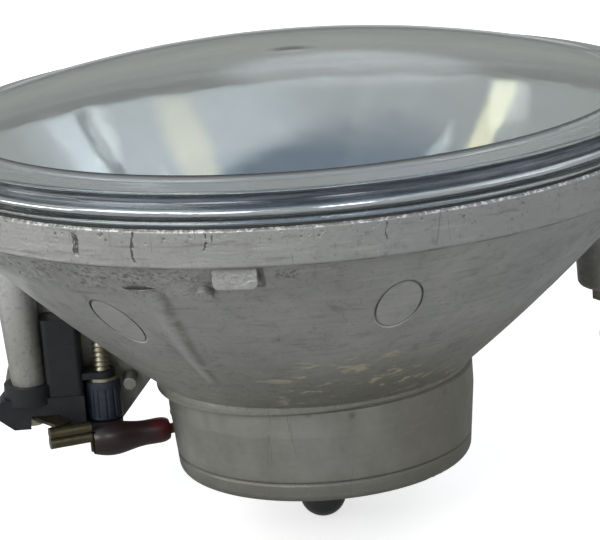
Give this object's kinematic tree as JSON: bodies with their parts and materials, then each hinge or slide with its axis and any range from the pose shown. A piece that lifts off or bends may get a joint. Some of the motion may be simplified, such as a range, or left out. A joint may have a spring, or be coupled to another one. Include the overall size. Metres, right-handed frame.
{
  "type": "car headlight assembly",
  "caption": "Round car headlamp unit: domed glass lens sealed to a cast bowl with a rear neck, single-blade bulb on a wire clip, screw aim adjusters and a ball pivot.",
  "frame": {"origin": "centre of the seam between the lens glass and the cast rim, on the optical axis", "axes": "+Z along the optical axis out through the lens, +Y up when the lamp stands in the car, +X to the right seen from behind the lamp"},
  "size_m": [0.176, 0.176, 0.1152],
  "materials": {
    "cast_alloy": "raw die-cast, aged",
    "lens_glass": "clear",
    "seal": "matte",
    "mirror_coat": "vacuum-aluminised",
    "zinc_steel": "zinc plated",
    "bulb_metal": "plated",
    "bulb_glass": "clear",
    "tungsten": "drawn wire",
    "ceramic": "unglazed ceramic",
    "spring_steel": "bright drawn",
    "plug_black": "glossy",
    "brass": "tarnished",
    "rubber_black": "matte",
    "lead_black": "PVC",
    "lead_brown": "PVC",
    "sleeve_red": "PVC, aged",
    "adjuster_black": "moulded",
    "knob_blue_black": "moulded"
  },
  "bodies": {
    "lamp_body": {"housing": "cast_alloy", "lens": "lens_glass", "lens_seal": "seal", "reflector": "mirror_coat", "bulb_seat": "zinc_steel", "seat_rivets": "zinc_steel", "bulb_base": "bulb_metal", "bulb_glass": "bulb_glass", "bulb_filament": "tungsten", "bulb_insulator": "ceramic", "bulb_blade": "bulb_metal", "clip_bracket": "zinc_steel", "lead_grommet": "rubber_black", "supply_lead": "lead_black", "supply_sleeve": "sleeve_red", "supply_receptacle": "brass", "earth_lead": "lead_brown", "earth_sleeve": "sleeve_red", "earth_receptacle": "brass", "earth_terminal": "brass", "earth_tag": "brass", "left_adjuster_body": "adjuster_black", "left_thrust_washer": "zinc_steel", "left_body_screw": "zinc_steel", "upper_adjuster_body": "adjuster_black", "upper_thrust_washer": "zinc_steel", "upper_body_screw": "zinc_steel", "pivot_stud": "zinc_steel"},
    "bulb_clip": {"bulb_clip": "spring_steel"},
    "bulb_plug": {"bulb_plug": "plug_black", "plug_contact": "brass"},
    "left_knob": {"left_adjuster_knob": "knob_blue_black"},
    "left_spindle": {"left_spindle": "zinc_steel"},
    "upper_knob": {"upper_adjuster_knob": "knob_blue_black"},
    "upper_spindle": {"upper_spindle": "zinc_steel"}
  },
  "joints": [
    {"name": "left_knob_turn", "type": "hinge", "parent": "lamp_body", "child": "left_knob", "pos_m": [-0.0518, 0.018, -0.0668], "axis": [0, 0, 1], "range_deg": [-290, 1442]},
    {"name": "left_spindle_slide", "type": "slide", "parent": "lamp_body", "child": "left_spindle", "axis": [0, 0, 1], "range_m": [-0.005, 0.001]},
    {"name": "upper_knob_turn", "type": "hinge", "parent": "lamp_body", "child": "upper_knob", "pos_m": [0.018, 0.0518, -0.0668], "axis": [0, 0, 1], "range_deg": [-290, 1442]},
    {"name": "upper_spindle_slide", "type": "slide", "parent": "lamp_body", "child": "upper_spindle", "axis": [0, 0, 1], "range_m": [-0.005, 0.001]},
    {"name": "bulb_clip_swing", "type": "hinge", "parent": "lamp_body", "child": "bulb_clip", "pos_m": [0, 0.0117, -0.0622], "axis": [1, 0, 0], "range_deg": [0, 100]},
    {"name": "bulb_plug_pull", "type": "slide", "parent": "lamp_body", "child": "bulb_plug", "axis": [0, 0, -1], "range_m": [0, 0.012], "deforming": ["supply_lead"]}
  ],
  "couplings": [
    {"joint": "left_knob_turn", "follows": "left_spindle_slide", "rad_per_m": -5026.5},
    {"joint": "upper_knob_turn", "follows": "upper_spindle_slide", "rad_per_m": -5026.5}
  ]
}
